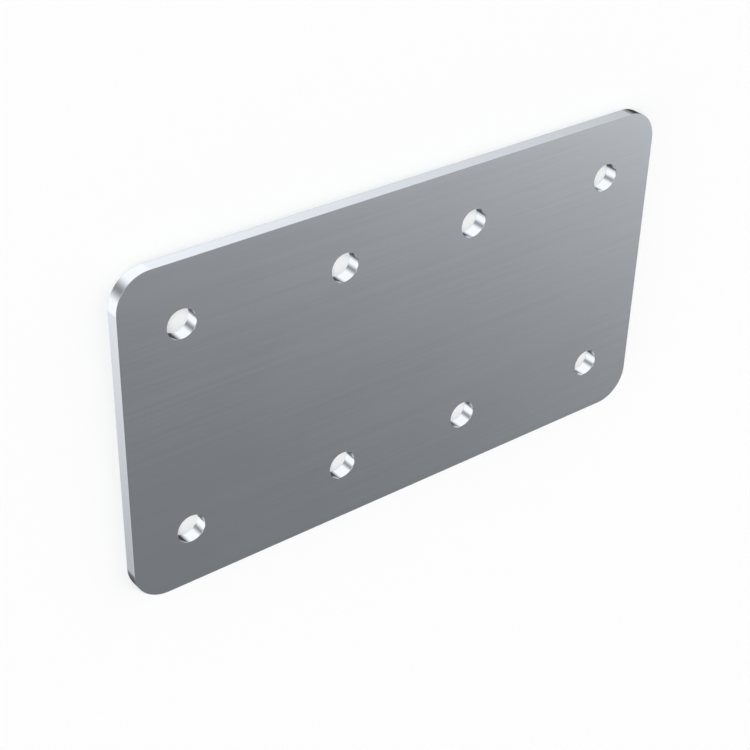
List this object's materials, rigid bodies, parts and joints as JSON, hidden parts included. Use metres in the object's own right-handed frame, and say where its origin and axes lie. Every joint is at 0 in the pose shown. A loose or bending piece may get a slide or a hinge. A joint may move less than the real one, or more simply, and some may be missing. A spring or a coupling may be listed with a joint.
{
  "type": "flat connector plate",
  "caption": "Flat rectangular connector plate with rounded corners and two rectangular groups of round bolt holes, one near each end.",
  "frame": {"origin": "centre of the mating face, the flat face that the plate lies on", "axes": "+X along the plate's length, +Y across its width, +Z out of the front face, through the plate's thickness"},
  "size_m": [0.18, 0.1, 0.004],
  "materials": {
    "plate_metal": "plain sheet metal, fine satin grain with soft reflections, cut edges a little brighter and deburred"
  },
  "bodies": {
    "root": {"connector_plate": "plate_metal"}
  },
  "joints": []
}
